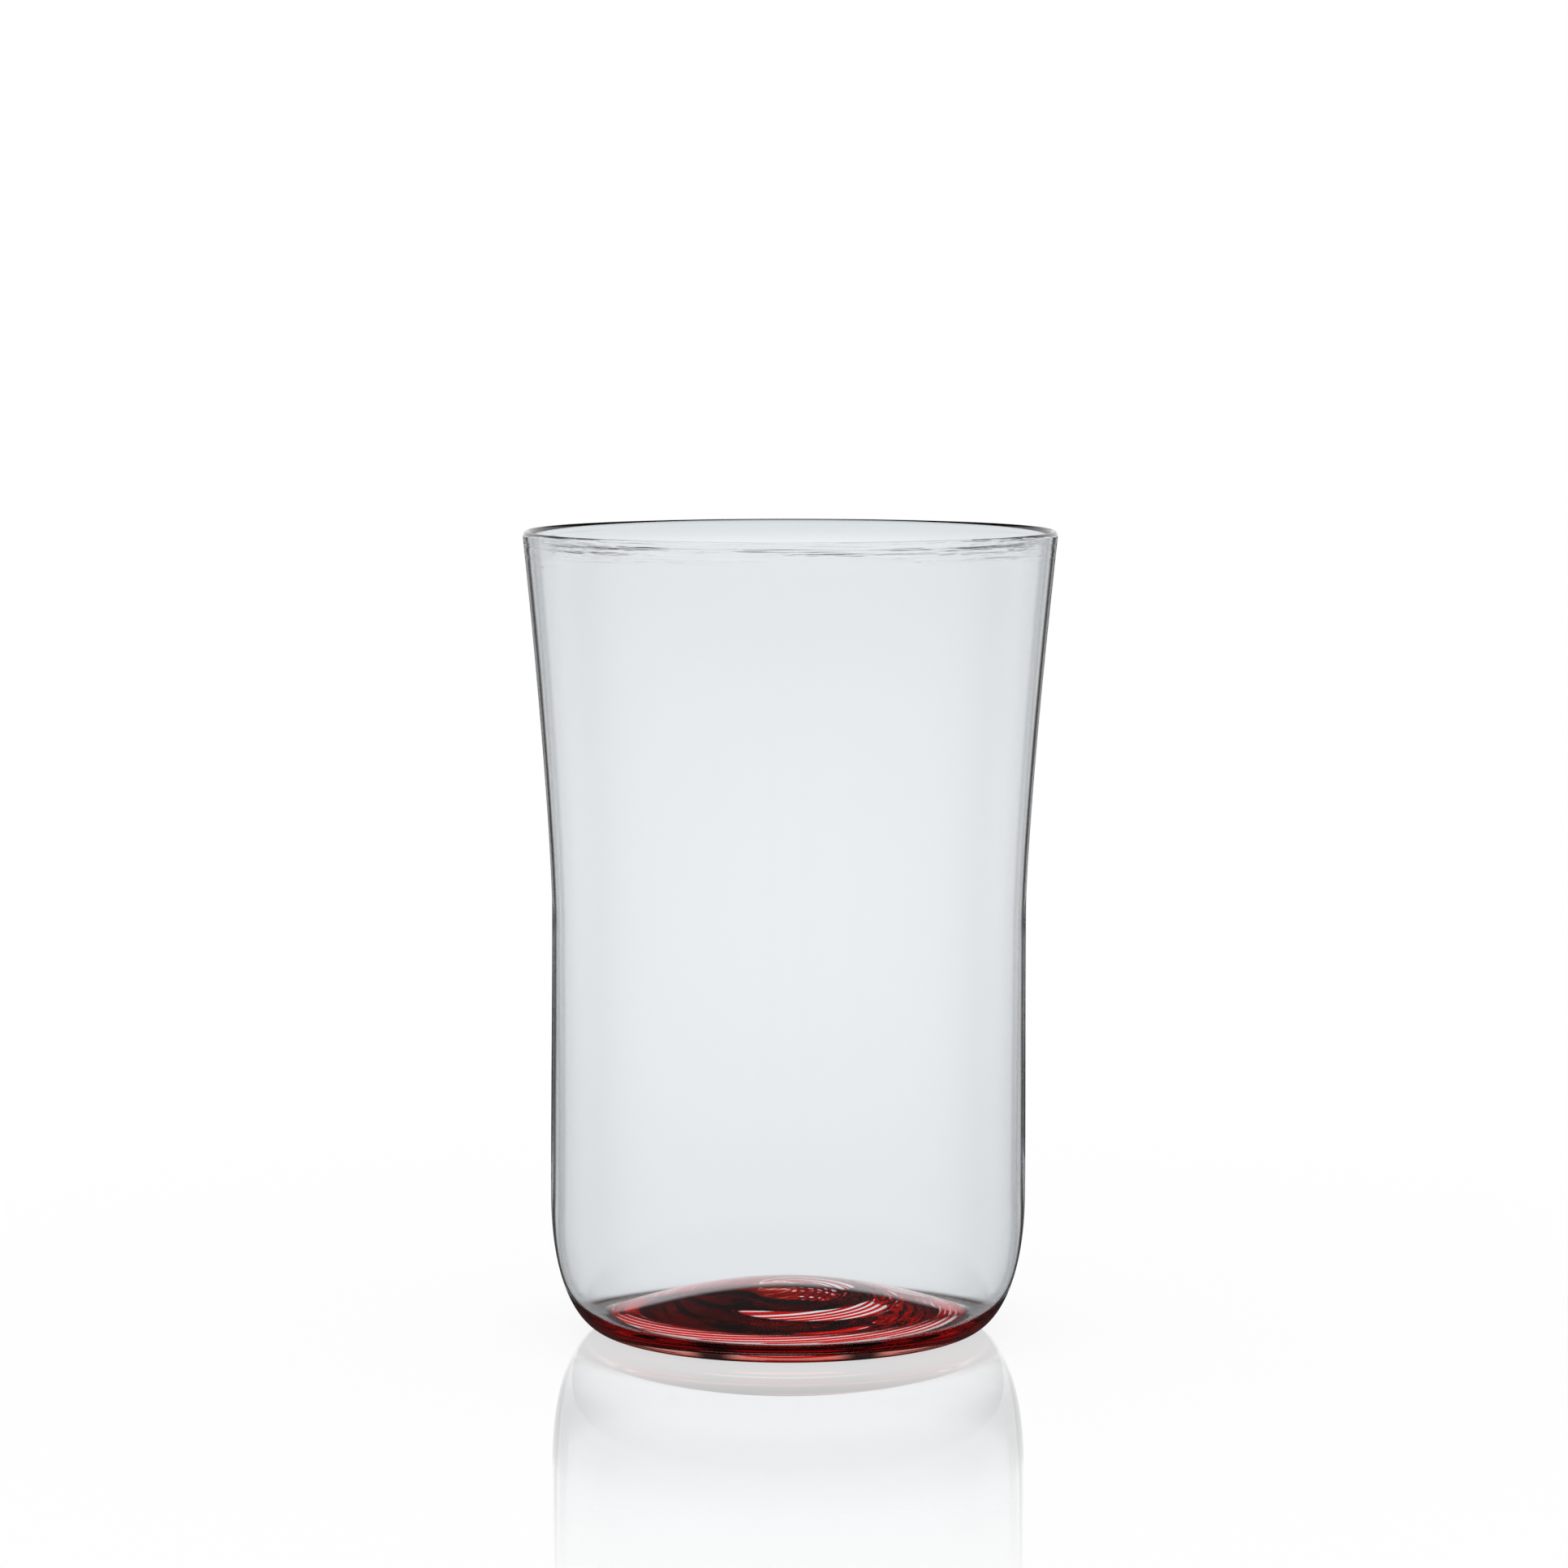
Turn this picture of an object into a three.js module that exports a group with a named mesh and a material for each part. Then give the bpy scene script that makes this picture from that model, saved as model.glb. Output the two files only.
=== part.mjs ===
// A hand-blown water glass: a thin clear bowl whose domed base holds a spiral of ruby glass canes.
// Millimetres, +Z up. The origin is on the axis of the glass, on the plane that the glass stands on.
import * as THREE from "three";

// Outside of the bowl
const overallHeight = 120;
const rimRadius = 39.75;
const waistRadius = 35.4;
const waistHeight = 64;
const bodyRadius = 35.6;
const heelHeight = 21;
const heelRun = 9.1; // across, from the outer edge of the standing ring to the side of the body
const heelPower = 2.2; // of a superellipse: 2 is a true ellipse, and more is squarer
const flarePower = 1.33; // above 1, so that the flare leaves the waist gently

// Wall of the bowl
const rimWall = 1.0;
const waistWall = 0.72;
const heelWall = 0.95;
const innerHeelPower = 2.5;

// Layers of the base, from the table up
const ringWidth = 0.8; // of the flat ring that the glass stands on
const kickHeight = 2.0; // of the hollow under the base
const kickPower = 6; // above 2, so that the hollow is steep at its edge and level inside
const markHeight = 0.7; // of the pontil mark, a shallower hollow in the first
const markRadius = 16;
const markPower = 4;
const casingCentre = 1.3;
const casingEdge = 0.75;
const fuseGap = 0.3; // left at every surface where two pieces of glass were fused
const floorCentre = 1.74;
const floorEdge = 0.39;

// Filigree
const caneCount = 16;
const caneDiameter = 0.56;
const filigreeReach = 0.6; // past the outer edge of the standing ring
const pitchCentre = 1.27; // from cane to cane along a radius, beside the centre ring
const pitchRim = 0.85; // the same at the outer ends of the canes
const eyeRadius = 0.6; // of the clear eye in the centre ring
const centreOffset = 1.5; // of the centre ring from the axis, towards -X, as in hand-twisted work

// Facets
const roundSegments = 48;
const ringSegments = 24;
const ringSides = 8;
const wallSteps = 9;
const heelSteps = 8;
const casingHeelSteps = 3;
const crownSteps = 8;
const kickSteps = 16;
const lipSteps = 6;
const caneSteps = 34;
const caneQuarterSides = 3; // a whole circle gets twice as many

// Radii and heights that follow from the sizes above
const lipHeight = overallHeight - rimWall / 2; // of the widest part of the round lip
const footRadius = bodyRadius - heelRun;
const kickRadius = footRadius - ringWidth;
const filigreeRadius = footRadius + filigreeReach;
const casingRadius = filigreeRadius + fuseGap;
const pocketRadius = casingRadius + fuseGap;

// The spiral: along a cane the radius grows by an ever smaller step for each turn.
// The canes start where they stand one fuse gap apart, which sets the size of the centre ring.
const centreGrowth = (caneCount * pitchCentre) / (2 * Math.PI);
const centreShare = (caneDiameter + fuseGap) / pitchCentre;
const spiralStart = (centreGrowth * centreShare) / Math.sqrt(1 - centreShare ** 2);
const spiralEnd = filigreeRadius - caneDiameter / 2;
const meanPitch = (pitchCentre + pitchRim) / 2;
const spiralTurns = (spiralEnd - spiralStart) / (caneCount * meanPitch);
const centreRingRadius = spiralStart - caneDiameter / 2 - fuseGap;

const clearGlass = new THREE.MeshStandardMaterial({
  color: 0xeef3f5,
  roughness: 0.03,
  metalness: 0,
  transparent: true,
  opacity: 0.35,
});
const rubyGlass = new THREE.MeshStandardMaterial({
  color: 0xb80f1d,
  roughness: 0.05,
  metalness: 0,
});

// Evenly spaced numbers with both ends
function spread(from, to, steps) {
  return Array.from({ length: steps + 1 }, (_, i) => from + ((to - from) * i) / steps);
}

const point = (radius, height) => new THREE.Vector2(radius, height);

// Outer radius of the wall above the heel: a slight draw-in to the waist, then the flare
function outerRadius(height) {
  const drawnIn = THREE.MathUtils.smoothstep(height, heelHeight, waistHeight);
  const flared = Math.max(0, (height - waistHeight) / (lipHeight - waistHeight));
  return (
    bodyRadius +
    (waistRadius - bodyRadius) * drawnIn +
    (rimRadius - waistRadius) * flared ** flarePower
  );
}

// Thickness of the wall: thinnest at the waist
function wallThickness(height) {
  const thinned = THREE.MathUtils.smoothstep(height, heelHeight, waistHeight);
  const thickened = THREE.MathUtils.smoothstep(height, waistHeight, lipHeight);
  return heelWall + (waistWall - heelWall) * thinned + (rimWall - waistWall) * thickened;
}

// A quarter superellipse that leaves its low end level and reaches its high end upright.
// The returned function gives the point at a turn from 0 to a quarter circle.
function heelCurve(low, high, power) {
  return (turn) =>
    point(
      low.x + (high.x - low.x) * Math.sin(turn) ** (2 / power),
      high.y - (high.y - low.y) * Math.cos(turn) ** (2 / power),
    );
}

const outerHeel = heelCurve(point(footRadius, 0), point(bodyRadius, heelHeight), heelPower);
const outerHeelTurn = (radius) => Math.asin(((radius - footRadius) / heelRun) ** (heelPower / 2));

// Height of a crown, a round dome
function crown(radius, reach, edge, centre) {
  return edge + (centre - edge) * (1 - (radius / reach) ** 2);
}

// Height of the underside of the base: the kick with the pontil mark in its middle
function underside(radius) {
  const mark = markHeight * Math.max(0, 1 - (radius / markRadius) ** markPower);
  return kickHeight * (1 - (radius / kickRadius) ** kickPower) + mark;
}

// Top of the casing. The canes and the underside of the bowl lie parallel above it.
function casingTop(radius) {
  return crown(radius, pocketRadius, casingEdge, kickHeight + markHeight + casingCentre);
}

const canesAboveCasing = fuseGap + caneDiameter / 2;
const pocketAboveCasing = caneDiameter + 2 * fuseGap;

// A closed solid of revolution about +Z from an outline that runs up the outside
function turned(outline, segments) {
  return new THREE.LatheGeometry(outline, segments).rotateX(Math.PI / 2);
}

function bowlGeometry() {
  const lipHalf = rimWall / 2;
  const floorLow = casingEdge + pocketAboveCasing + floorEdge;
  const floorHigh = casingTop(0) + pocketAboveCasing + floorCentre;
  const innerHeel = heelCurve(
    point(pocketRadius, floorLow),
    point(bodyRadius - heelWall, heelHeight),
    innerHeelPower,
  );
  const wallHeights = spread(heelHeight, lipHeight, wallSteps);
  const outline = [
    ...spread(0, pocketRadius, crownSteps).map((r) => point(r, casingTop(r) + pocketAboveCasing)),
    ...spread(outerHeelTurn(pocketRadius), Math.PI / 2, heelSteps).map(outerHeel),
    ...wallHeights.slice(1).map((z) => point(outerRadius(z), z)),
    ...spread(0, Math.PI, lipSteps)
      .slice(1, -1)
      .map((turn) =>
        point(
          rimRadius - lipHalf + lipHalf * Math.cos(turn),
          lipHeight + lipHalf * Math.sin(turn),
        ),
      ),
    ...wallHeights
      .slice(1)
      .reverse()
      .map((z) => point(outerRadius(z) - wallThickness(z), z)),
    ...spread(Math.PI / 2, 0, heelSteps).map(innerHeel),
    ...spread(pocketRadius, 0, crownSteps)
      .slice(1)
      .map((r) => point(r, crown(r, pocketRadius, floorLow, floorHigh))),
  ];
  return turned(outline, roundSegments);
}

function casingGeometry() {
  const outline = [
    ...spread(0, kickRadius, kickSteps).map((r) => point(r, underside(r))),
    ...spread(0, outerHeelTurn(casingRadius), casingHeelSteps).map(outerHeel),
    ...spread(casingRadius, 0, crownSteps).map((r) => point(r, casingTop(r))),
  ];
  return turned(outline, roundSegments);
}

// Centre line of a cane, from the centre ring out to the edge of the filigree.
// Seen from above it winds clockwise on its way out, and its centre drifts back to the axis.
class CaneCurve extends THREE.Curve {
  constructor(startAngle) {
    super();
    this.startAngle = startAngle;
  }

  getPoint(share, target = new THREE.Vector3()) {
    const t = share * (1.5 - 0.5 * share); // steps grow shorter towards the edge
    const grown = (pitchCentre * t + ((pitchRim - pitchCentre) * t ** 2) / 2) / meanPitch;
    const radius = spiralStart + (spiralEnd - spiralStart) * grown;
    const angle = this.startAngle - 2 * Math.PI * spiralTurns * t;
    const x = radius * Math.cos(angle) - centreOffset * (1 - t) ** 2;
    const y = radius * Math.sin(angle);
    return target.set(x, y, casingTop(Math.hypot(x, y)) + canesAboveCasing);
  }

  // The steps follow the spacing that getPoint gives
  getPointAt(share, target) {
    return this.getPoint(share, target);
  }

  getTangentAt(share, target) {
    return this.getTangent(share, target);
  }
}

function caneGeometry(startAngle) {
  const section = new THREE.Shape().absarc(0, 0, caneDiameter / 2, 0, 2 * Math.PI);
  return new THREE.ExtrudeGeometry(section, {
    extrudePath: new CaneCurve(startAngle),
    steps: caneSteps,
    curveSegments: caneQuarterSides,
    bevelEnabled: false,
  });
}

function centreRingGeometry() {
  const middle = (centreRingRadius + eyeRadius) / 2;
  const halfWidth = (centreRingRadius - eyeRadius) / 2;
  const outline = spread(0, 2 * Math.PI, ringSides).map((turn) =>
    point(middle + halfWidth * Math.cos(turn), (caneDiameter / 2) * Math.sin(turn)),
  );
  return turned(outline, ringSegments);
}

function named(name, geometry, material) {
  const mesh = new THREE.Mesh(geometry, material);
  mesh.name = name;
  return mesh;
}

const filigree = new THREE.Group();
for (let i = 0; i < caneCount; i++) {
  const name = `cane_${String(i + 1).padStart(2, "0")}`;
  filigree.add(named(name, caneGeometry((2 * Math.PI * i) / caneCount), rubyGlass));
}
const centreRing = named("centre_ring", centreRingGeometry(), rubyGlass);
centreRing.position.set(-centreOffset, 0, casingTop(centreOffset) + canesAboveCasing);
filigree.add(centreRing);

const glass = new THREE.Group();
glass.add(named("bowl", bowlGeometry(), clearGlass));
glass.add(named("base_casing", casingGeometry(), clearGlass));
glass.add(filigree);

export default glass;
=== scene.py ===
"""Looks of a hand-blown water glass with a ruby filigree spiral in its base, laid out as an add-on.

All sizes are in metres, in the frame of the packed part: +Z up along the axis of the glass, which stands on
z = 0, and -Y towards the camera.
"""

import math

import bpy
import numpy as np
from bpy.props import FloatProperty, FloatVectorProperty, IntProperty, PointerProperty
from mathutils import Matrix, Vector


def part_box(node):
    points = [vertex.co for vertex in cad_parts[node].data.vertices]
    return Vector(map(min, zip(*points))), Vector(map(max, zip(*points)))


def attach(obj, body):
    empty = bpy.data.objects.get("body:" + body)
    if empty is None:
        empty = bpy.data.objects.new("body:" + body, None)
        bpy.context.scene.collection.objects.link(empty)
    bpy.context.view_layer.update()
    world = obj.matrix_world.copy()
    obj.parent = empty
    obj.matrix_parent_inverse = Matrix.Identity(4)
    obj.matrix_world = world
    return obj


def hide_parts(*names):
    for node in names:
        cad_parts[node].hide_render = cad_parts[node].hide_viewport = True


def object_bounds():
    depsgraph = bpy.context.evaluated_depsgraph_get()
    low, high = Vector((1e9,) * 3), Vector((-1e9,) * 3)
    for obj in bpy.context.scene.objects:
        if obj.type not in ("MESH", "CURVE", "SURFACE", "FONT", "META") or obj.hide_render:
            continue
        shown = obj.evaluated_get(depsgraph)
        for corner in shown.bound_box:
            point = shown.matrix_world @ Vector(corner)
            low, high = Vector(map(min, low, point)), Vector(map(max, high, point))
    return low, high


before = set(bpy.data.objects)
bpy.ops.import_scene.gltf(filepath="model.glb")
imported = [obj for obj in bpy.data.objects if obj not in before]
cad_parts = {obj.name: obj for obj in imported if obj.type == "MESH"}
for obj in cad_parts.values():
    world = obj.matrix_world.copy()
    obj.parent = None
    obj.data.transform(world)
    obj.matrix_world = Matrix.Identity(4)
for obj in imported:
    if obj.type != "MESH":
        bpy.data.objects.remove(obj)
CAD_LOW, CAD_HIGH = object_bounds()
RING_LOW, RING_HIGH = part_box("centre_ring")

bl_info = {
    "name": "Filigree Water Glass",
    "version": (1, 0, 0),
    "blender": (4, 5, 0),
    "location": "3D View > Sidebar > Glass",
    "description": "Makes a blown water glass with a ruby filigree spiral in its base",
    "category": "Object",
}

BODY = "root"
TURN = 2 * math.pi

# Camera
PHOTO_SIDE = 1932  # pixels
FOCAL_PIXELS = 6487.6
SENSOR_MM = 36.0
CAMERA_PLACE = (-0.00054, -0.7825, 0.1551)
CAMERA_DIP = math.radians(5.33)

# Light paths through many layers of glass
LIGHT_BOUNCES = 64
MIRROR_BOUNCES = 32

# Glass
CLEAR_IOR = 1.5
RUBY_IOR = 1.0  # relative to the clear glass around it
WHITE = (1.0, 1.0, 1.0)

# Rows and columns of the clear glass
AROUND = 240
UNDER_ROWS = 61
HEEL_ROWS = 37
WALL_ROWS = 45
RIM_ROWS = 91
RIM_FROM = 0.955  # share of the wall's height at which the closer rows of the rim start
LIP_ROWS = 27
FLOOR_ROWS = 41

# Rows and columns of the ruby
CANE_ROWS = 220
CANE_SIDES = 14
CANE_POINT = 0.02  # size of a cane's end as a share of its half thickness
CANE_SEED = 7
RING_AROUND = 96
RING_SIDES = 24

# Scatter of the tool marks under the rim
RIDGE_ARC = (-0.42 * TURN, -0.08 * TURN)  # bearings of the front of the rim
RIDGE_CROWDING = (1.1, 2.0)  # of a beta distribution, which puts most of them near the lip
RIDGE_HALF_ARC = (0.12, 0.6)  # radians
RIDGE_TILT = 0.001  # metres of rise for a radian of arc
RIDGE_WAVE = 0.0002
RIDGE_WAVES = 9
RIDGE_THICKNESS = (0.00014, 0.0003)


def length(name, description, default):
    """A property that holds a size in metres."""
    return FloatProperty(
        name=name, description=description, default=default, min=0.0,
        unit="LENGTH", subtype="DISTANCE", precision=5,
    )


def position(name, description, default):
    """A property that holds a coordinate in metres."""
    return FloatProperty(name=name, description=description, default=default, unit="LENGTH", precision=5)


def number(name, description, default):
    """A property that holds a plain number."""
    return FloatProperty(name=name, description=description, default=default, precision=3)


def degrees(name, description, default):
    """A property that holds an angle, with its default in degrees."""
    return FloatProperty(
        name=name, description=description, default=math.radians(default), unit="ROTATION", subtype="ANGLE",
    )


def colour(name, description, default):
    """A property that holds a linear colour."""
    return FloatVectorProperty(
        name=name, description=description, default=default, size=3, min=0.0, max=1.0, subtype="COLOR",
    )


class BowlSizes(bpy.types.PropertyGroup):
    """Sizes of the clear glass"""

    height: length("Height", "From the table to the top of the rim", CAD_HIGH.z)
    rim_radius: length("Rim radius", "Outside of the rim", CAD_HIGH.x)
    waist_radius: length("Waist radius", "Outside of the narrowest part", 0.0354)
    waist_height: length("Waist height", "Height of the narrowest part", 0.064)
    body_radius: length("Body radius", "Outside of the body above the heel", 0.0356)
    heel_height: length("Heel height", "Height at which the heel meets the body", 0.021)
    heel_run: length("Heel run", "From the standing ring out to the side of the body", 0.0091)
    heel_power: number("Heel power", "2 is an ellipse and more is squarer", 2.2)
    inner_heel_power: number("Inner heel power", "The same for the inside", 2.5)
    flare_power: number("Flare power", "How gently the flare leaves the waist", 1.33)
    rim_wall: length("Rim wall", "Thickness of the wall at the rim", 0.001)
    waist_wall: length("Waist wall", "Thickness of the wall at the waist", 0.00072)
    heel_wall: length("Heel wall", "Thickness of the wall above the heel", 0.00095)
    lean: length("Lean", "How far the rim stands out of true, towards +X", 0.0004)

    lip_back: length("Lip at the back", "Height of the rounded lip there", 0.0013)
    lip_front: length("Lip at the front", "Height of the rounded lip there", 0.00005)
    lip_full: number("Full lip", "Share of the way to the back at which the lip is at its tallest", 0.75)
    lip_taper: number("Lip taper", "Share by which the wall thins out towards the lip at the front", 0.85)
    taper_from: number("Taper from", "Share of the way to the back up to which it thins out in full", 0.02)
    taper_to: number("Taper to", "Share of the way to the back at which it no longer thins out", 0.3)
    taper_reach: length("Taper reach", "Distance down from the lip at which it starts to thin out", 0.005)

    ridge_count: IntProperty(name="Ridges", description="Tool marks under the rim", default=70, min=1)
    ridge_seed: IntProperty(name="Ridge seed", description="Start of their scatter", default=5)
    ridge_depth: length("Ridge depth", "Height of the tool marks", 0.00003)
    ridge_reach: length("Ridge reach", "How far down from the rim they go", 0.0045)

    ring_width: length("Ring width", "Width of the flat ring that the glass stands on", 0.0008)
    kick_height: length("Kick height", "Height of the hollow under the base", 0.002)
    kick_power: number("Kick power", "2 is a dome and more is a flatter hollow", 6.0)
    kick_x: position("Kick X", "Of the middle of the hollow", -0.0018)
    mark_height: length("Mark height", "Depth of the ring-shaped pontil mark in the hollow", 0.0018)
    mark_radius: length("Mark radius", "Radius of the pontil mark", 0.0105)
    mark_width: length("Mark width", "Width of the pontil mark's ring", 0.0022)
    mark_bearing: degrees("Mark bearing", "Bearing of its deepest side from +X", -29)
    mark_x: position("Mark X", "Of the middle of the pontil mark", 0.0015)
    mark_y: position("Mark Y", "Of the middle of the pontil mark", -0.002)
    floor_low: length("Floor low", "Height of the inner floor at its edge", 0.0023)
    floor_high: length("Floor high", "Height of the inner floor at the axis", 0.0075)
    floor_radius: length("Floor radius", "Radius of the domed inner floor", 0.0277)


class FiligreeSizes(bpy.types.PropertyGroup):
    """Sizes of the ruby spiral"""

    cane_count: IntProperty(name="Canes", description="Number of ruby canes", default=16, min=1)
    cane_diameter: length("Cane diameter", "Thickness of a cane", 0.00056)
    fill: number("Fill", "Width of a cane as a share of the room between two canes", 0.72)
    jitter: number("Jitter", "Unevenness of the spacing, as a share of the room between two canes", 0.2)
    lean: number("Lean", "How much narrower the canes are on one side, as a share of their width", 0.28)
    lean_bearing: degrees("Lean bearing", "Bearing of that side from +X", -35)
    spiral_start: length("Spiral start", "Radius of the inner ends of the canes", 0.002983)
    spiral_end: length("Spiral end", "Radius of the outer ends of the canes", 0.02682)
    pitch_centre: length("Pitch at the centre", "From cane to cane along a radius", 0.00127)
    pitch_rim: length("Pitch at the rim", "From cane to cane along a radius", 0.00085)
    centre_offset: length("Centre offset", "Of the twist from the axis, towards -X", 0.0015)
    eye_radius: length("Eye radius", "Of the clear eye in the middle", 0.0006)
    edge_height: length("Edge height", "Height of the canes at their outer ends", 0.00133)
    centre_height: length("Centre height", "Height of the canes at the axis", 0.00458)
    thin_reach: length("Thin reach", "How far from the centre ring the ruby is drawn out thin", 0.002)
    # Painted shade: the ruby darkens towards the middle of the spiral, within these radii.
    core_shade_near: length("Core near", "Radius within which the ruby is at its deepest", 0.01)
    core_shade_far: length("Core far", "Radius beyond which it is at its lightest", 0.019)


class ClearFinish(bpy.types.PropertyGroup):
    """Finish of the clear glass"""

    tint: colour("Tint", "Of the thinnest clear glass", (0.975, 0.99, 1.0))
    deep: colour("Deeper tint", "Of the clear glass far from the waist", (0.938, 0.957, 0.972))
    deep_span: length("Deep span", "Distance from the waist at which the tint is at its deepest", 0.05)
    cloud_scale: number("Cloud scale", "Of the slow change of the tint", 28.0)
    cloud_share: number("Cloud share", "How much the tint wanders", 0.15)

    # Painted shade: edge and heel darken the clear glass seen edge on, towards its outline, most near the
    # heel.
    edge: colour("Edge on", "Tint of the wall seen edge on", (0.7, 0.72, 0.74))
    heel: colour("Heel edge on", "Tint of the heel seen edge on", (0.45, 0.48, 0.51))
    edge_shade_power: number("Edge power", "More keeps the edge-on tint closer to the outline", 3.0)
    edge_shade_inset: length("Edge inset", "From the waist's radius in to where the edge-on tint is full", 0.00216)
    heel_shade_low: length("Heel low", "Height up to which the edge-on tint is the heel's", 0.03)
    heel_shade_high: length("Heel high", "Height at which it is the wall's", 0.075)

    # Painted shade: this colour darkens the glass at the back of the rim.
    rim: colour("Rim", "Tint of the thick back of the rim", (0.73, 0.77, 0.8))
    rim_shade_near: length("Rim near", "Distance down from the rim to which its tint is full", 0.001)
    rim_shade_reach: length("Rim reach", "Distance down from the rim at which its tint is gone", 0.005)
    rim_shade_from: number("Rim from", "Y at which its tint starts, as a share of the rim's radius", -0.1)
    rim_shade_to: number("Rim to", "Y beyond which its tint is full, as a share of the rim's radius", 0.5)

    # Painted red refraction of the ruby, in the front of the heel's foot, low down and towards -Y.
    red_refraction: colour("Bleed", "Tint of the heel's foot, where the ruby bled into it", (0.5, 0.04, 0.02))
    red_refraction_low: length("Bleed low", "Height up to which the bleed is full", 0.001)
    red_refraction_high: length("Bleed high", "Height at which the bleed is gone", 0.004)
    red_refraction_front: position("Bleed front", "Y up to which the bleed is full", -0.012)
    red_refraction_back: position("Bleed back", "Y at which the bleed is gone", 0.0)

    wave_scale: number("Wave scale", "Of the slight waves of the blown wall", 55.0)
    wave_depth: length("Wave depth", "Height of those waves", 0.00001)
    streak_depth: length("Streak depth", "Depth of the fine streaks under the rim", 0.00025)
    streak_length: length("Streak length", "Length of a streak along the rim", 0.035)
    streak_height: length("Streak height", "Height of a streak", 0.0006)
    streak_wander: number("Streak wander", "Distortion of the streaks", 1.6)
    streak_near: length("Streak near", "Distance down from the rim at which they start to fade", 0.001)
    streak_reach: length("Streak reach", "Distance down from the rim at which they are gone", 0.0045)
    streak_from: number("Streak from", "Y at which they start, as a share of the rim's radius", -0.3)
    streak_to: number("Streak to", "Y beyond which they are full, as a share of the rim's radius", -0.8)


class RubyFinish(bpy.types.PropertyGroup):
    """Finish of the ruby glass"""

    tint: colour("Tint", "Of the ruby canes", (0.99, 0.025, 0.012))
    deep: colour("Deeper tint", "Where the ruby is mottled", (0.74, 0.005, 0.008))
    # Painted shade of the ruby in the middle of the spiral.
    core: colour("Core", "Tint of the ruby in the middle of the spiral", (0.5, 0.003, 0.005))
    thin: colour("Thin", "Tint of the ruby where it was drawn out thin", (0.95, 0.16, 0.06))
    mottle_scale: number("Mottle scale", "Of the mottled tint", 320.0)


class StageSettings(bpy.types.PropertyGroup):
    """Light and floor"""

    band_bright: degrees("Bright band", "Elevation up to which the band of light is white", 14)
    band_end: degrees("End of the band", "Elevation at which the ceiling starts", 28)
    back_bright: degrees("Bright back light", "The same for light that comes through the glass", 12.5)
    back_end: degrees("End of the back light", "The same for light that comes through the glass", 17)
    ceiling: number("Ceiling", "Strength of the light from above the band", 0.02)
    low_bright: degrees("Low bright band", "Angle below the horizon to which the band is white", 20)
    low_end: degrees("End of the low band", "Angle below the horizon at which it is dimmest", 45)
    low_dim: number("Low light", "Strength of the light from below the low band", 0.75)
    flag_bearing: degrees("Flags", "Bearing of the two dark flags beside the back light", 17)
    flag_half: degrees("Flag half", "Half of the width of a flag", 1.5)
    flag_soft: degrees("Flag softness", "Width of a flag's soft edge", 6)
    flag_dark: number("Flag", "Strength of the light from a flag", 0.05)
    back_half: degrees("Back half", "Bearing from +Y up to which the glass mirrors the back light", 40)
    back_side: degrees("Back side", "Bearing from +Y at which it mirrors only the front of the room", 78)
    front: number("Front", "Strength of the light that the glass mirrors from the front", 0.22)

    floor_half: length("Floor half", "Half of the side of the floor", 3.0)
    floor_gap: length("Floor gap", "From the standing ring down to the floor", 0.00005)
    shade: number("Shade", "Share of the floor that takes the shadow of the glass", 0.15)
    dim: colour("Dim", "Floor as the outside of the glass mirrors it", (0.03, 0.03, 0.03))
    mirror_base: number("Mirror at the base", "Strength of the reflection at the standing ring", 0.22)
    mirror_share: number("Mirror share", "Strength of the reflection beside the glass", 0.55)
    mirror_near: length("Mirror near", "Distance from the axis at which it starts to fade", 0.06)
    mirror_far: length("Mirror far", "Distance from the axis at which it is gone", 0.2)
    polish_from: number("Polish from", "Layer weight at which the floor starts to mirror", 0.58)
    polish_to: number("Polish to", "Layer weight at which the floor mirrors in full", 0.8)
    lit_near: length("Lit near", "Distance from the axis to which the floor is lit from below", 0.0262)
    lit_far: length("Lit far", "Distance from the axis at which that light is gone", 0.028)
    graze_from: number("Graze from", "Layer weight at which the lit floor starts to mirror", 0.88)
    graze_to: number("Graze to", "Layer weight at which the lit floor is all mirror", 0.96)
    # Painted shadow on the floor under the heel, with painted red light from the ruby.
    painted_red_shadow: colour("Glow", "Floor in the shadow under the heel, with some of the red", (0.06, 0.02, 0.014))
    under_near: length("Under near", "Distance from the axis to which that shadow is full", 0.03)
    under_far: length("Under far", "Distance from the axis at which that shadow is gone", 0.034)


# Shapes


def smooth(x, low, high):
    """0 below low and 1 above high, with a cubic ease between them."""
    t = np.clip((x - low) / (high - low), 0.0, 1.0)
    return t * t * (3.0 - 2.0 * t)


def foot_radius(b):
    """Outer radius of the standing ring."""
    return b.body_radius - b.heel_run


def lip_height(b):
    """Height at which a half-round lip, as thick as the rim, would start."""
    return b.height - b.rim_wall / 2


def outer_radius(b, z):
    """Outer radius of the wall: an eased draw-in to the waist, then a power curve out to the rim."""
    flared = np.clip((z - b.waist_height) / (lip_height(b) - b.waist_height), 0.0, None)
    return (
        b.body_radius
        + (b.waist_radius - b.body_radius) * smooth(z, b.heel_height, b.waist_height)
        + (b.rim_radius - b.waist_radius) * flared**b.flare_power
    )


def wall(b, z):
    """Thickness of the wall: eased from the heel down to the waist and up again to the rim."""
    return (
        b.heel_wall
        + (b.waist_wall - b.heel_wall) * smooth(z, b.heel_height, b.waist_height)
        + (b.rim_wall - b.waist_wall) * smooth(z, b.waist_height, lip_height(b))
    )


def heel(low, high, power):
    """Radii and heights of a quarter superellipse, level at its low end and upright at its high end."""
    turn = np.linspace(0.0, TURN / 4, HEEL_ROWS)
    r = low[0] + (high[0] - low[0]) * np.sin(turn) ** (2 / power)
    z = high[1] - (high[1] - low[1]) * np.clip(np.cos(turn), 0.0, None) ** (2 / power)
    return r, z


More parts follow.
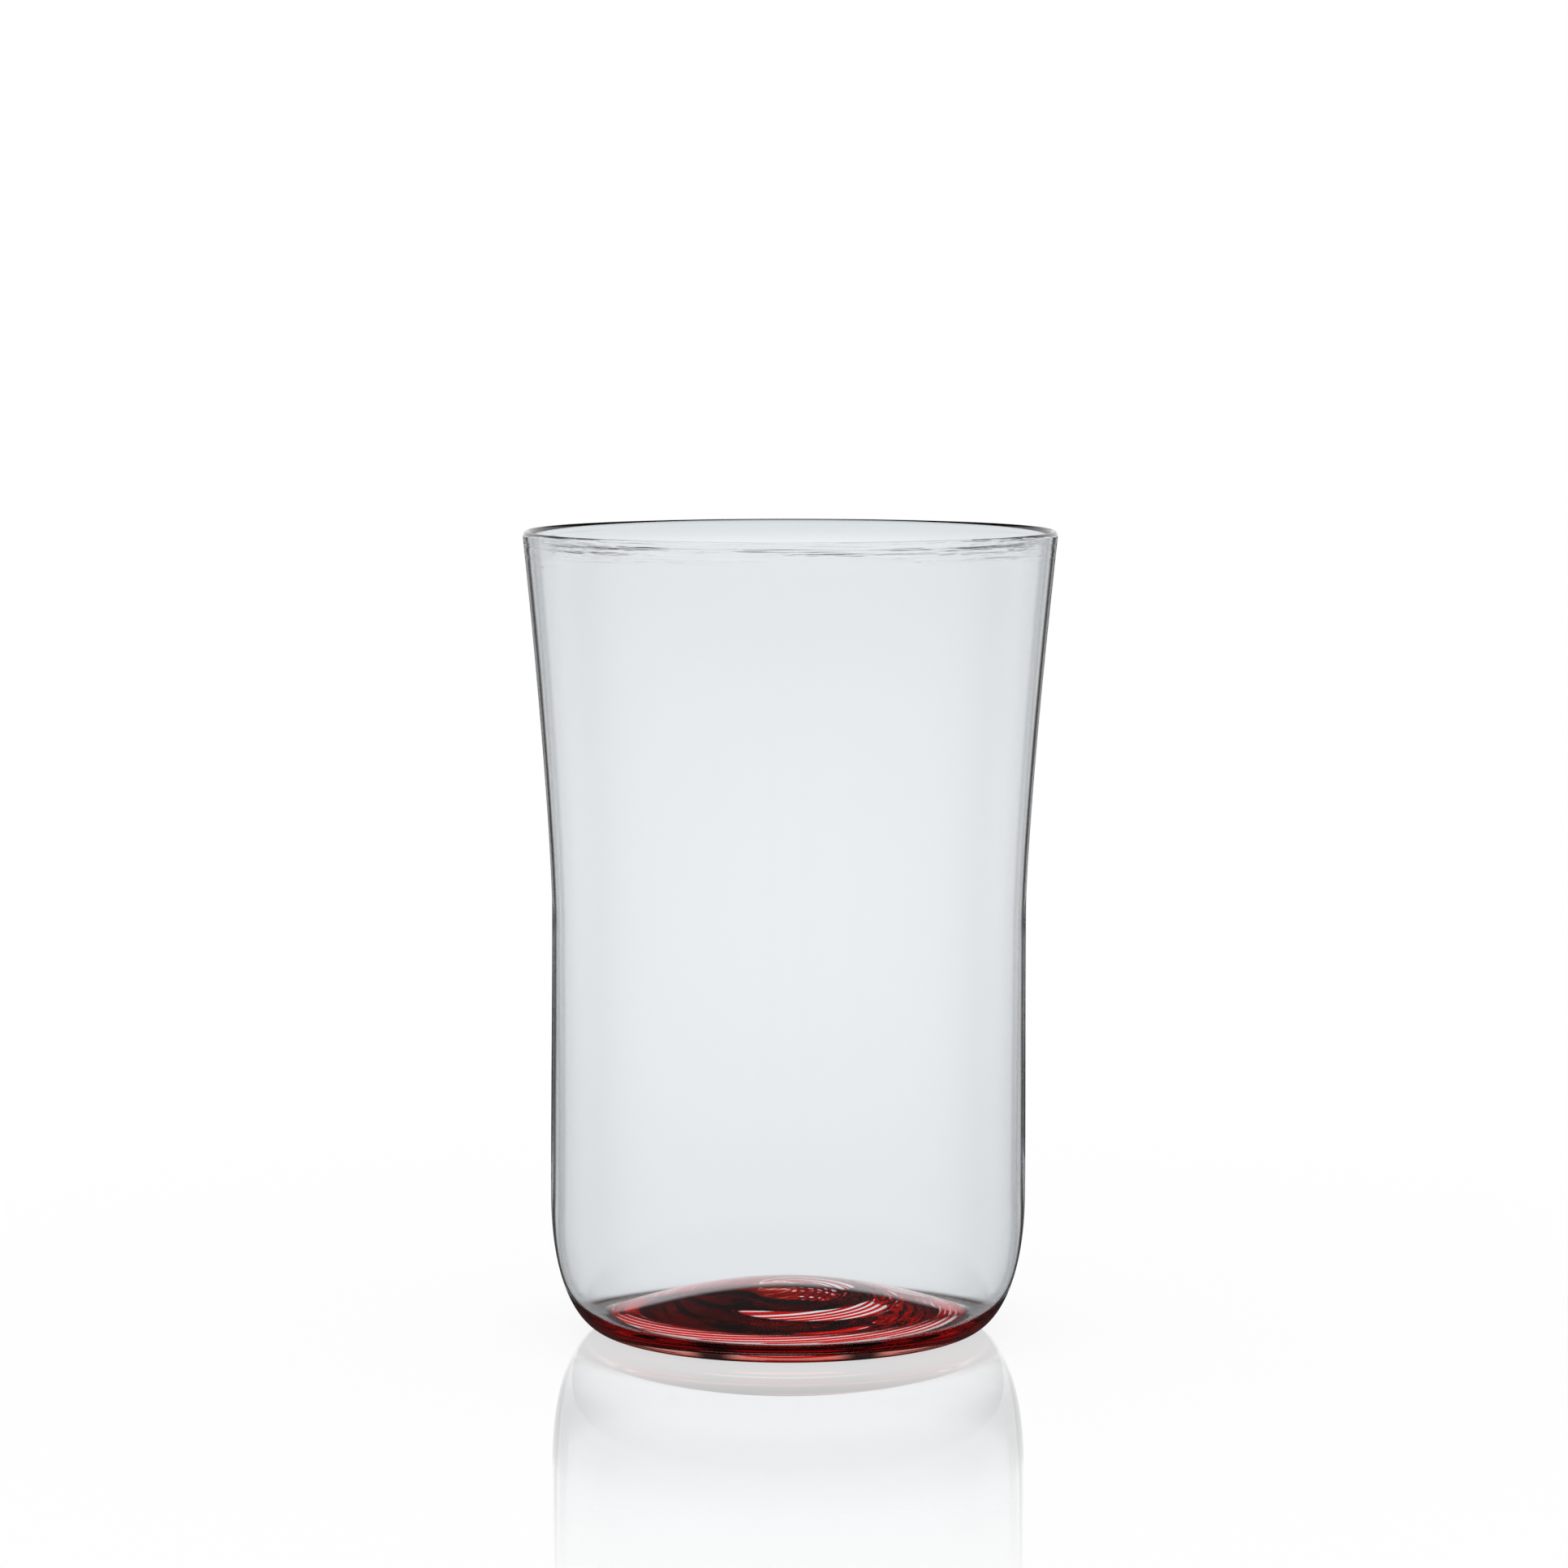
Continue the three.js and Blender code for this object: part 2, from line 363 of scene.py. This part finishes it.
def crown(r, reach, edge, centre):
    """Height of a round dome: edge + rise * (1 - (r / reach)^2)."""
    return edge + (centre - edge) * np.clip(1.0 - (r / reach) ** 2, 0.0, None)


def kick(b, x, y):
    """Height of the underside: a hollow, steep at its edge and level inside, with the pontil mark in it.

    The hollow is height * (1 - r^power). The mark is a ring with a bell-shaped section, deepest on one side
    and gone opposite. Both are set off from the axis.
    """
    reach = foot_radius(b) - b.ring_width
    inside = np.clip(1 - (x**2 + y**2) / reach**2, 0.0, None)
    r = np.hypot(x - b.kick_x * inside, y) / reach
    hollow = b.kick_height * np.clip(1 - r**b.kick_power, 0.0, None)
    off = np.hypot(x - b.mark_x, y - b.mark_y) - b.mark_radius
    bearing = np.arctan2(y - b.mark_y, x - b.mark_x)
    depth = b.mark_height * (1 + np.cos(bearing - b.mark_bearing)) / 2
    return hollow + depth * np.exp(-((off / b.mark_width) ** 2))


def ridges(b, angle, down):
    """Depth of the tool marks under the rim, at an angle and a distance down from the lip.

    Each mark is a long low ridge: a bell across its height times a bell along its length, on a waving line.
    """
    rng = np.random.default_rng(b.ridge_seed)
    count = b.ridge_count
    middle = rng.uniform(*RIDGE_ARC, count)
    below = b.ridge_reach * rng.beta(*RIDGE_CROWDING, count)
    reach = rng.uniform(*RIDGE_HALF_ARC, count)
    tilt = rng.normal(0.0, RIDGE_TILT, count)
    wave = rng.uniform(0, TURN, count)
    thick = rng.uniform(*RIDGE_THICKNESS, count)
    size = b.ridge_depth * rng.uniform(-1, 1, count)
    away = (angle[..., None] - middle + TURN / 2) % TURN - TURN / 2
    line = below + tilt * away + RIDGE_WAVE * np.sin(RIDGE_WAVES * away + wave)
    along = np.exp(-((away / reach) ** 2))
    across = np.exp(-(((down[..., None] - line) / thick) ** 2))
    return (size * along * across).sum(axis=-1)


def body_rings(b):
    """Rings of the clear glass, from the axis below, up the outside, over the lip and down the inside.

    The lip is half an ellipse, taller at the back than at the front, and the wall is stretched to meet it.
    The inside of the wall has half as many rows as the outside.
    """
    angle = np.arange(AROUND) * TURN / AROUND
    foot = foot_radius(b)
    to_back = (1 + np.sin(angle)) / 2
    rise = b.lip_front + (b.lip_back - b.lip_front) * smooth(to_back, 0.0, b.lip_full)
    top = b.height - rise
    wall_rows = np.linspace(0.0, RIM_FROM, WALL_ROWS)[:-1]
    share = np.concatenate([wall_rows, np.linspace(RIM_FROM, 1.0, RIM_ROWS)])[:, None]
    z = b.heel_height + (top - b.heel_height) * share
    outside = outer_radius(b, z)
    taper = b.lip_taper * (1 - smooth(to_back, b.taper_from, b.taper_to))
    thickness = wall(b, z) * (1 - taper * smooth(z, top - b.taper_reach, top))
    half = thickness[-1] / 2
    turn = np.linspace(0.0, TURN / 2, LIP_ROWS)[1:-1, None]
    under = np.linspace(0.0, foot - b.ring_width, UNDER_ROWS)[1:]
    outer_r, outer_z = heel((foot, 0.0), (b.body_radius, b.heel_height), b.heel_power)
    inner_r, inner_z = heel(
        (b.floor_radius, b.floor_low), (b.body_radius - b.heel_wall, b.heel_height), b.inner_heel_power,
    )
    floor = np.linspace(b.floor_radius, 0.0, FLOOR_ROWS)[1:-1]

    def round_rows(radii, heights):
        return np.repeat(radii[:, None], AROUND, axis=1), np.repeat(heights[:, None], AROUND, axis=1)

    parts = [
        round_rows(under, np.zeros_like(under)),
        round_rows(outer_r, outer_z),
        ((outside + ridges(b, angle[None, :], top - z))[1:], z[1:]),
        (outside[-1] - half + half * np.cos(turn), top + rise * np.sin(turn)),
        ((outside - thickness)[::-2], z[::-2]),
        round_rows(inner_r[-2::-1], inner_z[-2::-1]),
        round_rows(floor, crown(floor, b.floor_radius, b.floor_low, b.floor_high)),
    ]
    r = np.concatenate([radii for radii, _ in parts])
    z = np.concatenate([heights for _, heights in parts])
    x, y = r * np.cos(angle), r * np.sin(angle)
    z[: len(under)] = kick(b, x[: len(under)], y[: len(under)])
    return np.stack([x + b.lean * z / b.height, y, z], axis=-1)


def mesh_of(name, vertices, quads, triangles=np.zeros((0, 3), int)):
    """A smooth-shaded mesh from arrays of vertices, quads and triangles."""
    mesh = bpy.data.meshes.new(name)
    mesh.vertices.add(len(vertices))
    mesh.vertices.foreach_set("co", np.asarray(vertices, np.float32).ravel())
    corners = np.concatenate([quads.ravel(), triangles.ravel()]).astype(np.int32)
    starts = np.concatenate([4 * np.arange(len(quads)), quads.size + 3 * np.arange(len(triangles))])
    mesh.loops.add(len(corners))
    mesh.loops.foreach_set("vertex_index", corners)
    mesh.polygons.add(len(starts))
    mesh.polygons.foreach_set("loop_start", starts.astype(np.int32))
    mesh.update(calc_edges=True)
    mesh.validate()
    mesh.shade_smooth()
    return mesh


def skin(name, rings, start, end):
    """A closed mesh from rings of points, each ring joined to the next, with a point that closes each end."""
    count, around = rings.shape[:2]
    vertices = np.concatenate([rings.reshape(-1, 3), [start], [end]])
    a = np.arange(around)
    b = (a + 1) % around
    first = np.arange(count - 1)[:, None] * around
    quads = np.stack([first + a, first + b, first + around + b, first + around + a], axis=-1).reshape(-1, 4)
    pole, last = count * around, (count - 1) * around
    fans = np.concatenate([
        np.stack([np.full(around, pole), b, a], axis=1),
        np.stack([np.full(around, pole + 1), last + a, last + b], axis=1),
    ])
    return mesh_of(name, vertices, quads, fans)


def thinned(mesh, thin):
    """The mesh with an attribute that says how thinly drawn the ruby is at each vertex."""
    mesh.attributes.new("thin", "FLOAT", "POINT").data.foreach_set("value", thin.astype(np.float32))
    return mesh


def cane_path(f, b, start_angle, share):
    """Points of a cane's centre line, at shares of the way from the centre ring out.

    The radius grows by an ever smaller step for each turn, the centre drifts to the axis, and the heights
    follow a crown that is parallel to the floor of the bowl.
    """
    mean = (f.pitch_centre + f.pitch_rim) / 2
    turns = (f.spiral_end - f.spiral_start) / (f.cane_count * mean)
    grown = (f.pitch_centre * share + (f.pitch_rim - f.pitch_centre) * share**2 / 2) / mean
    r = f.spiral_start + (f.spiral_end - f.spiral_start) * grown
    angle = start_angle - TURN * turns * share
    x = r * np.cos(angle) - f.centre_offset * (1 - share) ** 2
    y = r * np.sin(angle)
    z = crown(np.hypot(x, y), b.floor_radius, f.edge_height, f.centre_height)
    return np.stack([x, y, z], axis=1)


def cane_half_width(f, path, share):
    """Half of a cane's width along its path.

    It is a share of half the room between two canes, measured square to them, and less on the lean side.
    """
    pitch = f.pitch_centre + (f.pitch_rim - f.pitch_centre) * share
    growth = f.cane_count * pitch / TURN
    r = np.hypot(path[:, 0] + f.centre_offset * (1 - share) ** 2, path[:, 1])
    bearing = np.arctan2(path[:, 1], path[:, 0]) - f.lean_bearing
    return f.fill / 2 * pitch * r / np.hypot(r, growth) * (1 - f.lean * np.cos(bearing))


def cane(name, f, b, start_angle):
    """An elliptic section carried along the cane's path, rounded off to a point at both ends."""
    share = np.linspace(0.0, 1.0, CANE_ROWS)
    path = cane_path(f, b, start_angle, share)
    along = np.gradient(path, axis=0)
    along /= np.linalg.norm(along, axis=1, keepdims=True)
    side = np.cross(along, (0.0, 0.0, 1.0))
    side /= np.linalg.norm(side, axis=1, keepdims=True)
    up = np.cross(side, along)
    run = np.concatenate([[0.0], np.cumsum(np.linalg.norm(np.diff(path, axis=0), axis=1))])
    half = f.cane_diameter / 2
    ends = np.clip(np.minimum(run, run[-1] - run) / half, CANE_POINT, 1.0)
    size = np.sqrt(1 - (1 - ends) ** 2)[:, None, None]
    wide = cane_half_width(f, path, share)[:, None, None]
    turn = (np.arange(CANE_SIDES) * TURN / CANE_SIDES)[None, :, None]
    section = wide * np.cos(turn) * side[:, None] + half * np.sin(turn) * up[:, None]
    tip = half * CANE_POINT
    mesh = skin(name, path[:, None] + size * section, path[0] - along[0] * tip, path[-1] + along[-1] * tip)
    thin = np.repeat(np.clip(1 - run / f.thin_reach, 0.0, 1.0), CANE_SIDES)
    return thinned(mesh, np.append(thin, [1.0, 0.0]))


def ring(name, centre, middle, half_width, half_height):
    """A torus with an elliptic section, level at the given centre."""
    angle = np.arange(RING_AROUND)[:, None] * TURN / RING_AROUND
    turn = np.arange(RING_SIDES)[None, :] * TURN / RING_SIDES
    r = middle + half_width * np.cos(turn)
    z = half_height * np.sin(turn)
    points = np.stack(np.broadcast_arrays(r * np.cos(angle), r * np.sin(angle), z), axis=-1)
    i, j = np.meshgrid(np.arange(RING_AROUND), np.arange(RING_SIDES), indexing="ij")

    def corner(di, dj):
        return (i + di) % RING_AROUND * RING_SIDES + (j + dj) % RING_SIDES

    quads = np.stack([corner(0, 0), corner(1, 0), corner(1, 1), corner(0, 1)], axis=-1).reshape(-1, 4)
    mesh = mesh_of(name, (points + np.asarray(centre)).reshape(-1, 3), quads)
    return thinned(mesh, np.ones(RING_AROUND * RING_SIDES))


def piece(mesh, material, slot, *nodes):
    """Puts a mesh into the scene as a piece of the glass that stands for CAD nodes."""
    mesh.materials.append(material)
    made = bpy.data.objects.new(mesh.name, mesh)
    bpy.context.scene.collection.objects.link(made)
    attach(made, BODY)
    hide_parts(*nodes)


# Nodes


def node(tree, kind, inputs=None, **settings):
    """A new node; an input is set to a number or colour, or linked to the given output socket."""
    made = tree.nodes.new(kind)
    for key, value in settings.items():
        setattr(made, key, value)
    for key, value in (inputs or {}).items():
        if isinstance(value, bpy.types.NodeSocket):
            tree.links.new(value, made.inputs[key])
        else:
            made.inputs[key].default_value = value
    return made


def calc(tree, operation, *values, **settings):
    """Output of a Math node."""
    return node(tree, "ShaderNodeMath", dict(enumerate(values)), operation=operation, **settings).outputs[0]


def product(tree, first, *others):
    """Output that multiplies all the given values."""
    for other in others:
        first = calc(tree, "MULTIPLY", first, other)
    return first


def ramp(tree, value, low, high, start=0.0, end=1.0, shape="SMOOTHSTEP"):
    """Output that runs from start, where the value is at low, to end, where it is at high."""
    inputs = {"Value": value, "From Min": low, "From Max": high, "To Min": start, "To Max": end}
    return node(tree, "ShaderNodeMapRange", inputs, interpolation_type=shape).outputs[0]


def between(tree, share, first, second):
    """Output of a mix of two numbers."""
    return node(tree, "ShaderNodeMix", {"Factor": share, "A": first, "B": second}).outputs[0]


def blend(tree, share, first, second):
    """Output of a mix of two colours; each is three numbers or an output socket."""
    first, second = [c if isinstance(c, bpy.types.NodeSocket) else (*c, 1.0) for c in (first, second)]
    return node(tree, "ShaderNodeMix", {0: share, 6: first, 7: second}, data_type="RGBA").outputs[2]


def layered(tree, share, first, second):
    """Output of a mix of two shaders."""
    return node(tree, "ShaderNodeMixShader", {0: share, 1: first, 2: second}).outputs[0]


def noise(tree, vector, scale, detail, distortion=0.0):
    """Output of a noise texture."""
    inputs = {"Vector": vector, "Scale": scale, "Detail": detail, "Distortion": distortion}
    return node(tree, "ShaderNodeTexNoise", inputs).outputs["Fac"]


def scaled(tree, vector, factors):
    """Output that multiplies a vector by factors, axis by axis."""
    return node(tree, "ShaderNodeVectorMath", {0: vector, 1: factors}, operation="MULTIPLY").outputs[0]


def size_of(tree, vector):
    """Output with the length of a vector."""
    return node(tree, "ShaderNodeVectorMath", {0: vector}, operation="LENGTH").outputs["Value"]


def emission(tree, light):
    """Output of a shader that gives off light of a colour."""
    return node(tree, "ShaderNodeEmission", {"Color": (*light, 1.0)}).outputs[0]


# Materials


def glass(name, ior):
    """A material of smooth glass, with its node tree, its shader and its Object coordinates."""
    material = bpy.data.materials.new(name)
    material.use_nodes = True
    tree = material.node_tree
    shader = tree.nodes["Principled BSDF"]
    shader.inputs["Roughness"].default_value = 0.0
    shader.inputs["IOR"].default_value = ior
    shader.inputs["Transmission Weight"].default_value = 1.0
    return material, tree, shader, node(tree, "ShaderNodeTexCoord").outputs["Object"]


def clear_tint_and_shade(tree, here, finish, b):
    """Tint of the clear glass: faint and cool, wandering a little.

    It deepens with the square of the height from the waist. Painted shade darkens it edge on, by a power of
    the facing, and at the thick back of the rim. A painted red refraction of the ruby colours the front of
    the heel's foot.
    """
    split = node(tree, "ShaderNodeSeparateXYZ", {0: here})
    y, z = split.outputs["Y"], split.outputs["Z"]
    radius = size_of(tree, scaled(tree, here, (1.0, 1.0, 0.0)))

    from_waist = calc(tree, "DIVIDE", calc(tree, "SUBTRACT", z, b.waist_height), finish.deep_span)
    thick = product(tree, from_waist, from_waist)
    cloud = noise(tree, here, finish.cloud_scale, detail=3.0)
    deep = calc(tree, "MULTIPLY_ADD", cloud, finish.cloud_share, thick, use_clamp=True)
    tint = blend(tree, deep, finish.tint, finish.deep)

    # Painted shade: by a power of the facing, the glass turns darker edge on, with the heel's darker tint
    # near the heel.
    facing = node(tree, "ShaderNodeLayerWeight").outputs["Facing"]
    steep = calc(tree, "POWER", facing, finish.edge_shade_power)
    upright = ramp(tree, radius, b.floor_radius, b.waist_radius - finish.edge_shade_inset)
    painted_edge_shade = product(tree, steep, upright)
    heel_shade_share = ramp(tree, z, finish.heel_shade_low, finish.heel_shade_high, 1.0, 0.0)
    tint = blend(tree, painted_edge_shade, tint, blend(tree, heel_shade_share, finish.edge, finish.heel))

    # Painted shade at the thick back of the rim.
    near_rim = ramp(tree, z, b.height - finish.rim_shade_reach, b.height - finish.rim_shade_near)
    rim_shade_behind = ramp(tree, y, finish.rim_shade_from * b.rim_radius, finish.rim_shade_to * b.rim_radius)
    tint = blend(tree, product(tree, near_rim, rim_shade_behind), tint, finish.rim)

    # Painted red refraction of the ruby: the heel's foot is tinted red low down at its front.
    foot = foot_radius(b)
    outside = ramp(tree, radius, foot, foot + b.ring_width, shape="LINEAR")
    low = ramp(tree, z, finish.red_refraction_low, finish.red_refraction_high, 1.0, 0.0)
    ahead = ramp(tree, y, finish.red_refraction_front, finish.red_refraction_back, 1.0, 0.0)
    return blend(tree, product(tree, outside, low, ahead), tint, finish.red_refraction)


def clear_relief(tree, here, finish, b):
    """Normals of the clear glass: slight waves all over, and fine level streaks under the rim's front."""
    split = node(tree, "ShaderNodeSeparateXYZ", {0: here})
    waves = noise(tree, here, finish.wave_scale, detail=1.0)
    wavy = node(tree, "ShaderNodeBump", {"Height": waves, "Strength": 1.0, "Distance": finish.wave_depth})
    fine = (1 / finish.streak_length, 1 / finish.streak_length, 1 / finish.streak_height)
    streaks = noise(tree, scaled(tree, here, fine), 1.0, detail=2.0, distortion=finish.streak_wander)
    near_rim = ramp(tree, split.outputs["Z"], b.height - finish.streak_reach, b.height - finish.streak_near)
    y_from, y_to = finish.streak_from * b.rim_radius, finish.streak_to * b.rim_radius
    ahead = ramp(tree, split.outputs["Y"], y_from, y_to)
    streaked = node(tree, "ShaderNodeBump", {
        "Height": product(tree, streaks, ahead, near_rim),
        "Strength": 1.0,
        "Distance": finish.streak_depth,
        "Normal": wavy.outputs[0],
    })
    return streaked.outputs[0]


def clear_glass(finish, b):
    """Clear blown glass with its tint, its painted shade and red refraction, and its relief."""
    material, tree, shader, here = glass("clear_glass", CLEAR_IOR)
    tree.links.new(clear_tint_and_shade(tree, here, finish, b), shader.inputs["Base Color"])
    tree.links.new(clear_relief(tree, here, finish, b), shader.inputs["Normal"])
    return material


def ruby_glass(finish, f):
    """Ruby glass fused into the clear glass, so light passes into it without bending.

    The tint is mottled. Painted shade deepens it towards the middle of the spiral. It turns to orange where
    the attribute says that the ruby was drawn out thin.
    """
    material, tree, shader, here = glass("ruby_glass", RUBY_IOR)
    mottle = noise(tree, here, finish.mottle_scale, detail=3.0)
    radius = size_of(tree, scaled(tree, here, (1.0, 1.0, 0.0)))
    # Painted shade towards the middle of the spiral.
    core = ramp(tree, radius, f.core_shade_near, f.core_shade_far, 1.0, 0.0)
    thin = node(tree, "ShaderNodeAttribute", attribute_name="thin").outputs["Fac"]
    tint = blend(tree, core, blend(tree, mottle, finish.deep, finish.tint), finish.core)
    tree.links.new(blend(tree, thin, tint, finish.thin), shader.inputs["Base Color"])
    return material


# Stage


def stage_world(scene):
    """Soft studio light, white to the camera and to the floor.

    The glass sees a bright band round the horizon under a dark ceiling. Light that comes through it has a
    narrower band, with two dark flags in it, and what it mirrors from the front of the room is dimmer.
    """
    stage = scene.stage_settings
    world = bpy.data.worlds.new("studio")
    scene.world = world
    world.use_nodes = True
    tree = world.node_tree
    tree.nodes.clear()
    path = node(tree, "ShaderNodeLightPath").outputs
    coord = node(tree, "ShaderNodeTexCoord").outputs["Generated"]
    split = node(tree, "ShaderNodeSeparateXYZ", {0: coord}).outputs
    inside = calc(tree, "GREATER_THAN", path["Transmission Depth"], 0.5)
    bounced = calc(tree, "GREATER_THAN", path["Glossy Depth"], 0.5)

    level = calc(tree, "ABSOLUTE", split["Z"])
    outer, through, low = [
        ramp(tree, level, math.sin(bright), math.sin(end), 1.0, dark)
        for bright, end, dark in (
            (stage.band_bright, stage.band_end, stage.ceiling),
            (stage.back_bright, stage.back_end, stage.ceiling),
            (stage.low_bright, stage.low_end, stage.low_dim),
        )
    ]
    below = calc(tree, "LESS_THAN", split["Z"], 0.0)
    band = between(tree, below, between(tree, inside, outer, through), low)

    bearing = calc(tree, "ABSOLUTE", calc(tree, "ARCTAN2", split["X"], split["Y"]))
    from_flag = calc(tree, "ABSOLUTE", calc(tree, "SUBTRACT", bearing, stage.flag_bearing))
    flag = ramp(tree, from_flag, stage.flag_half, stage.flag_half + stage.flag_soft, stage.flag_dark, 1.0)
    flags = between(tree, path["Is Transmission Ray"], 1.0, flag)

    ahead = ramp(tree, split["Y"], math.cos(stage.back_side), math.cos(stage.back_half), stage.front, 1.0)
    room = between(tree, product(tree, bounced, inside), 1.0, ahead)

    lit = product(tree, band, flags, room)
    for ray in ("Is Camera Ray", "Is Diffuse Ray"):
        lit = calc(tree, "MAXIMUM", lit, path[ray])
    light = node(tree, "ShaderNodeBackground", {"Color": (*WHITE, 1.0), "Strength": lit})
    node(tree, "ShaderNodeOutputWorld", {"Surface": light.outputs[0]})


def floor_finish(stage):
    """Pale polished floor.

    To the camera it is white, takes some of the shadow of the glass and mirrors it with a strength that rises
    from the standing ring, then fades out. Through the glass it is lit from below inside the standing ring
    and has a painted shadow under the heel, with some painted red light from the ruby.
    """
    material = bpy.data.materials.new("floor_pale")
    material.use_nodes = True
    tree = material.node_tree
    tree.nodes.clear()
    path = node(tree, "ShaderNodeLightPath").outputs
    distance = size_of(tree, node(tree, "ShaderNodeTexCoord").outputs["Object"])
    facing = node(tree, "ShaderNodeLayerWeight").outputs["Facing"]
    white = emission(tree, WHITE)
    mirror = node(tree, "ShaderNodeBsdfGlossy", {"Color": (*WHITE, 1.0), "Roughness": 0.0}).outputs[0]
    matt = node(tree, "ShaderNodeBsdfDiffuse", {"Color": (*WHITE, 1.0)}).outputs[0]
    clear = node(tree, "ShaderNodeBsdfTransparent").outputs[0]

    rise = ramp(tree, distance, stage.lit_far, stage.mirror_near, stage.mirror_base, stage.mirror_share)
    fall = ramp(tree, distance, stage.mirror_near, stage.mirror_far, 1.0, 0.0)
    polish = ramp(tree, facing, stage.polish_from, stage.polish_to)
    plain = layered(tree, stage.shade, white, matt)
    seen = layered(tree, product(tree, rise, fall, polish), plain, mirror)

    grazing = ramp(tree, facing, stage.graze_from, stage.graze_to, shape="LINEAR")
    open_floor = ramp(tree, distance, stage.under_near, stage.under_far)
    # Painted shadow under the heel, with painted red light from the ruby; beyond it the floor lets light
    # through.
    beside = layered(tree, open_floor, emission(tree, stage.painted_red_shadow), clear)
    unlit = ramp(tree, distance, stage.lit_near, stage.lit_far)
    through = layered(tree, unlit, layered(tree, grazing, white, mirror), beside)

    other = layered(tree, path["Is Transmission Ray"], emission(tree, stage.dim), through)
    surface = layered(tree, path["Is Camera Ray"], other, seen)
    node(tree, "ShaderNodeOutputMaterial", {"Surface": surface})
    return material


def stage_floor(scene):
    """A square of floor, just under the standing ring."""
    stage = scene.stage_settings
    half, low = stage.floor_half, -stage.floor_gap
    corners = np.array([(-half, -half, low), (half, -half, low), (half, half, low), (-half, half, low)])
    mesh = mesh_of("floor", corners, np.array([[0, 1, 2, 3]]))
    mesh.materials.append(floor_finish(stage))
    floor = bpy.data.objects.new("floor", mesh)
    scene.collection.objects.link(floor)


def stage_camera(scene):
    """A camera at the photograph's viewing angle."""
    data = bpy.data.cameras.new("camera")
    data.sensor_width = SENSOR_MM
    data.lens = FOCAL_PIXELS / PHOTO_SIDE * SENSOR_MM
    camera = bpy.data.objects.new("camera", data)
    camera.location = CAMERA_PLACE
    camera.rotation_euler = (TURN / 4 - CAMERA_DIP, 0, 0)
    scene.collection.objects.link(camera)
    scene.camera = camera


# Operators and panel


class GLASS_OT_blow_body(bpy.types.Operator):
    """Make the clear glass: wall, rim, heel, domed floor and casing, fused into one skin"""

    bl_idname = "filigree_glass.blow_body"
    bl_label = "Blow the clear glass"

    def execute(self, context):
        b = context.scene.bowl_sizes
        under = (0, 0, float(kick(b, 0.0, 0.0)))
        mesh = skin("clear_body", body_rings(b), under, (0, 0, b.floor_high))
        piece(mesh, clear_glass(context.scene.clear_finish, b), "clear_glass", "bowl", "base_casing")
        return {"FINISHED"}


class GLASS_OT_lay_canes(bpy.types.Operator):
    """Make the ruby canes and the ring where they meet"""

    bl_idname = "filigree_glass.lay_canes"
    bl_label = "Lay the ruby canes"

    def execute(self, context):
        f, b = context.scene.filigree_sizes, context.scene.bowl_sizes
        ruby = ruby_glass(context.scene.ruby_finish, f)
        uneven = np.random.default_rng(CANE_SEED).uniform(-1, 1, f.cane_count) * f.jitter
        for i in range(f.cane_count):
            name = f"cane_{i + 1:02d}"
            mesh = cane(f"ruby_{name}", f, b, TURN * (i + uneven[i]) / f.cane_count)
            piece(mesh, ruby, "ruby_glass", name)
        centre = (RING_LOW + RING_HIGH) / 2
        outer = (RING_HIGH.x - RING_LOW.x) / 2
        middle, half_width = (outer + f.eye_radius) / 2, (outer - f.eye_radius) / 2
        mesh = ring("ruby_centre_ring", centre, middle, half_width, f.cane_diameter / 2)
        piece(mesh, ruby, "ruby_glass", "centre_ring")
        return {"FINISHED"}


class GLASS_OT_set_stage(bpy.types.Operator):
    """Make the floor, the light and the camera"""

    bl_idname = "filigree_glass.set_stage"
    bl_label = "Set the stage"

    def execute(self, context):
        scene = context.scene
        scene.view_settings.view_transform = "Standard"
        stage_world(scene)
        stage_floor(scene)
        stage_camera(scene)
        scene.cycles.max_bounces = LIGHT_BOUNCES
        scene.cycles.transmission_bounces = LIGHT_BOUNCES
        scene.cycles.glossy_bounces = MIRROR_BOUNCES
        return {"FINISHED"}


class GLASS_PT_panel(bpy.types.Panel):
    """Lists the steps that make the glass and its stage, and their settings"""

    bl_label = "Filigree Water Glass"
    bl_space_type = "VIEW_3D"
    bl_region_type = "UI"
    bl_category = "Glass"

    def draw(self, context):
        for operator in OPERATORS:
            self.layout.operator(operator.bl_idname)
        for name, group in GROUPS.items():
            box = self.layout.box()
            box.label(text=group.__doc__)
            for key in group.__annotations__:
                box.prop(getattr(context.scene, name), key)


GROUPS = {
    "bowl_sizes": BowlSizes,
    "filigree_sizes": FiligreeSizes,
    "clear_finish": ClearFinish,
    "ruby_finish": RubyFinish,
    "stage_settings": StageSettings,
}
OPERATORS = (GLASS_OT_blow_body, GLASS_OT_lay_canes, GLASS_OT_set_stage)
CLASSES = (*GROUPS.values(), *OPERATORS, GLASS_PT_panel)


def register():
    """Adds the classes to Blender and the groups of settings to its scenes."""
    for c in CLASSES:
        bpy.utils.register_class(c)
    for name, group in GROUPS.items():
        setattr(bpy.types.Scene, name, PointerProperty(type=group))


def unregister():
    """Takes the groups of settings and the classes out again."""
    for name in GROUPS:
        delattr(bpy.types.Scene, name)
    for c in reversed(CLASSES):
        bpy.utils.unregister_class(c)


def main():
    """Makes the glass and its stage."""
    register()
    bpy.ops.filigree_glass.blow_body()
    bpy.ops.filigree_glass.lay_canes()
    bpy.ops.filigree_glass.set_stage()


if __name__ == "__main__":
    main()
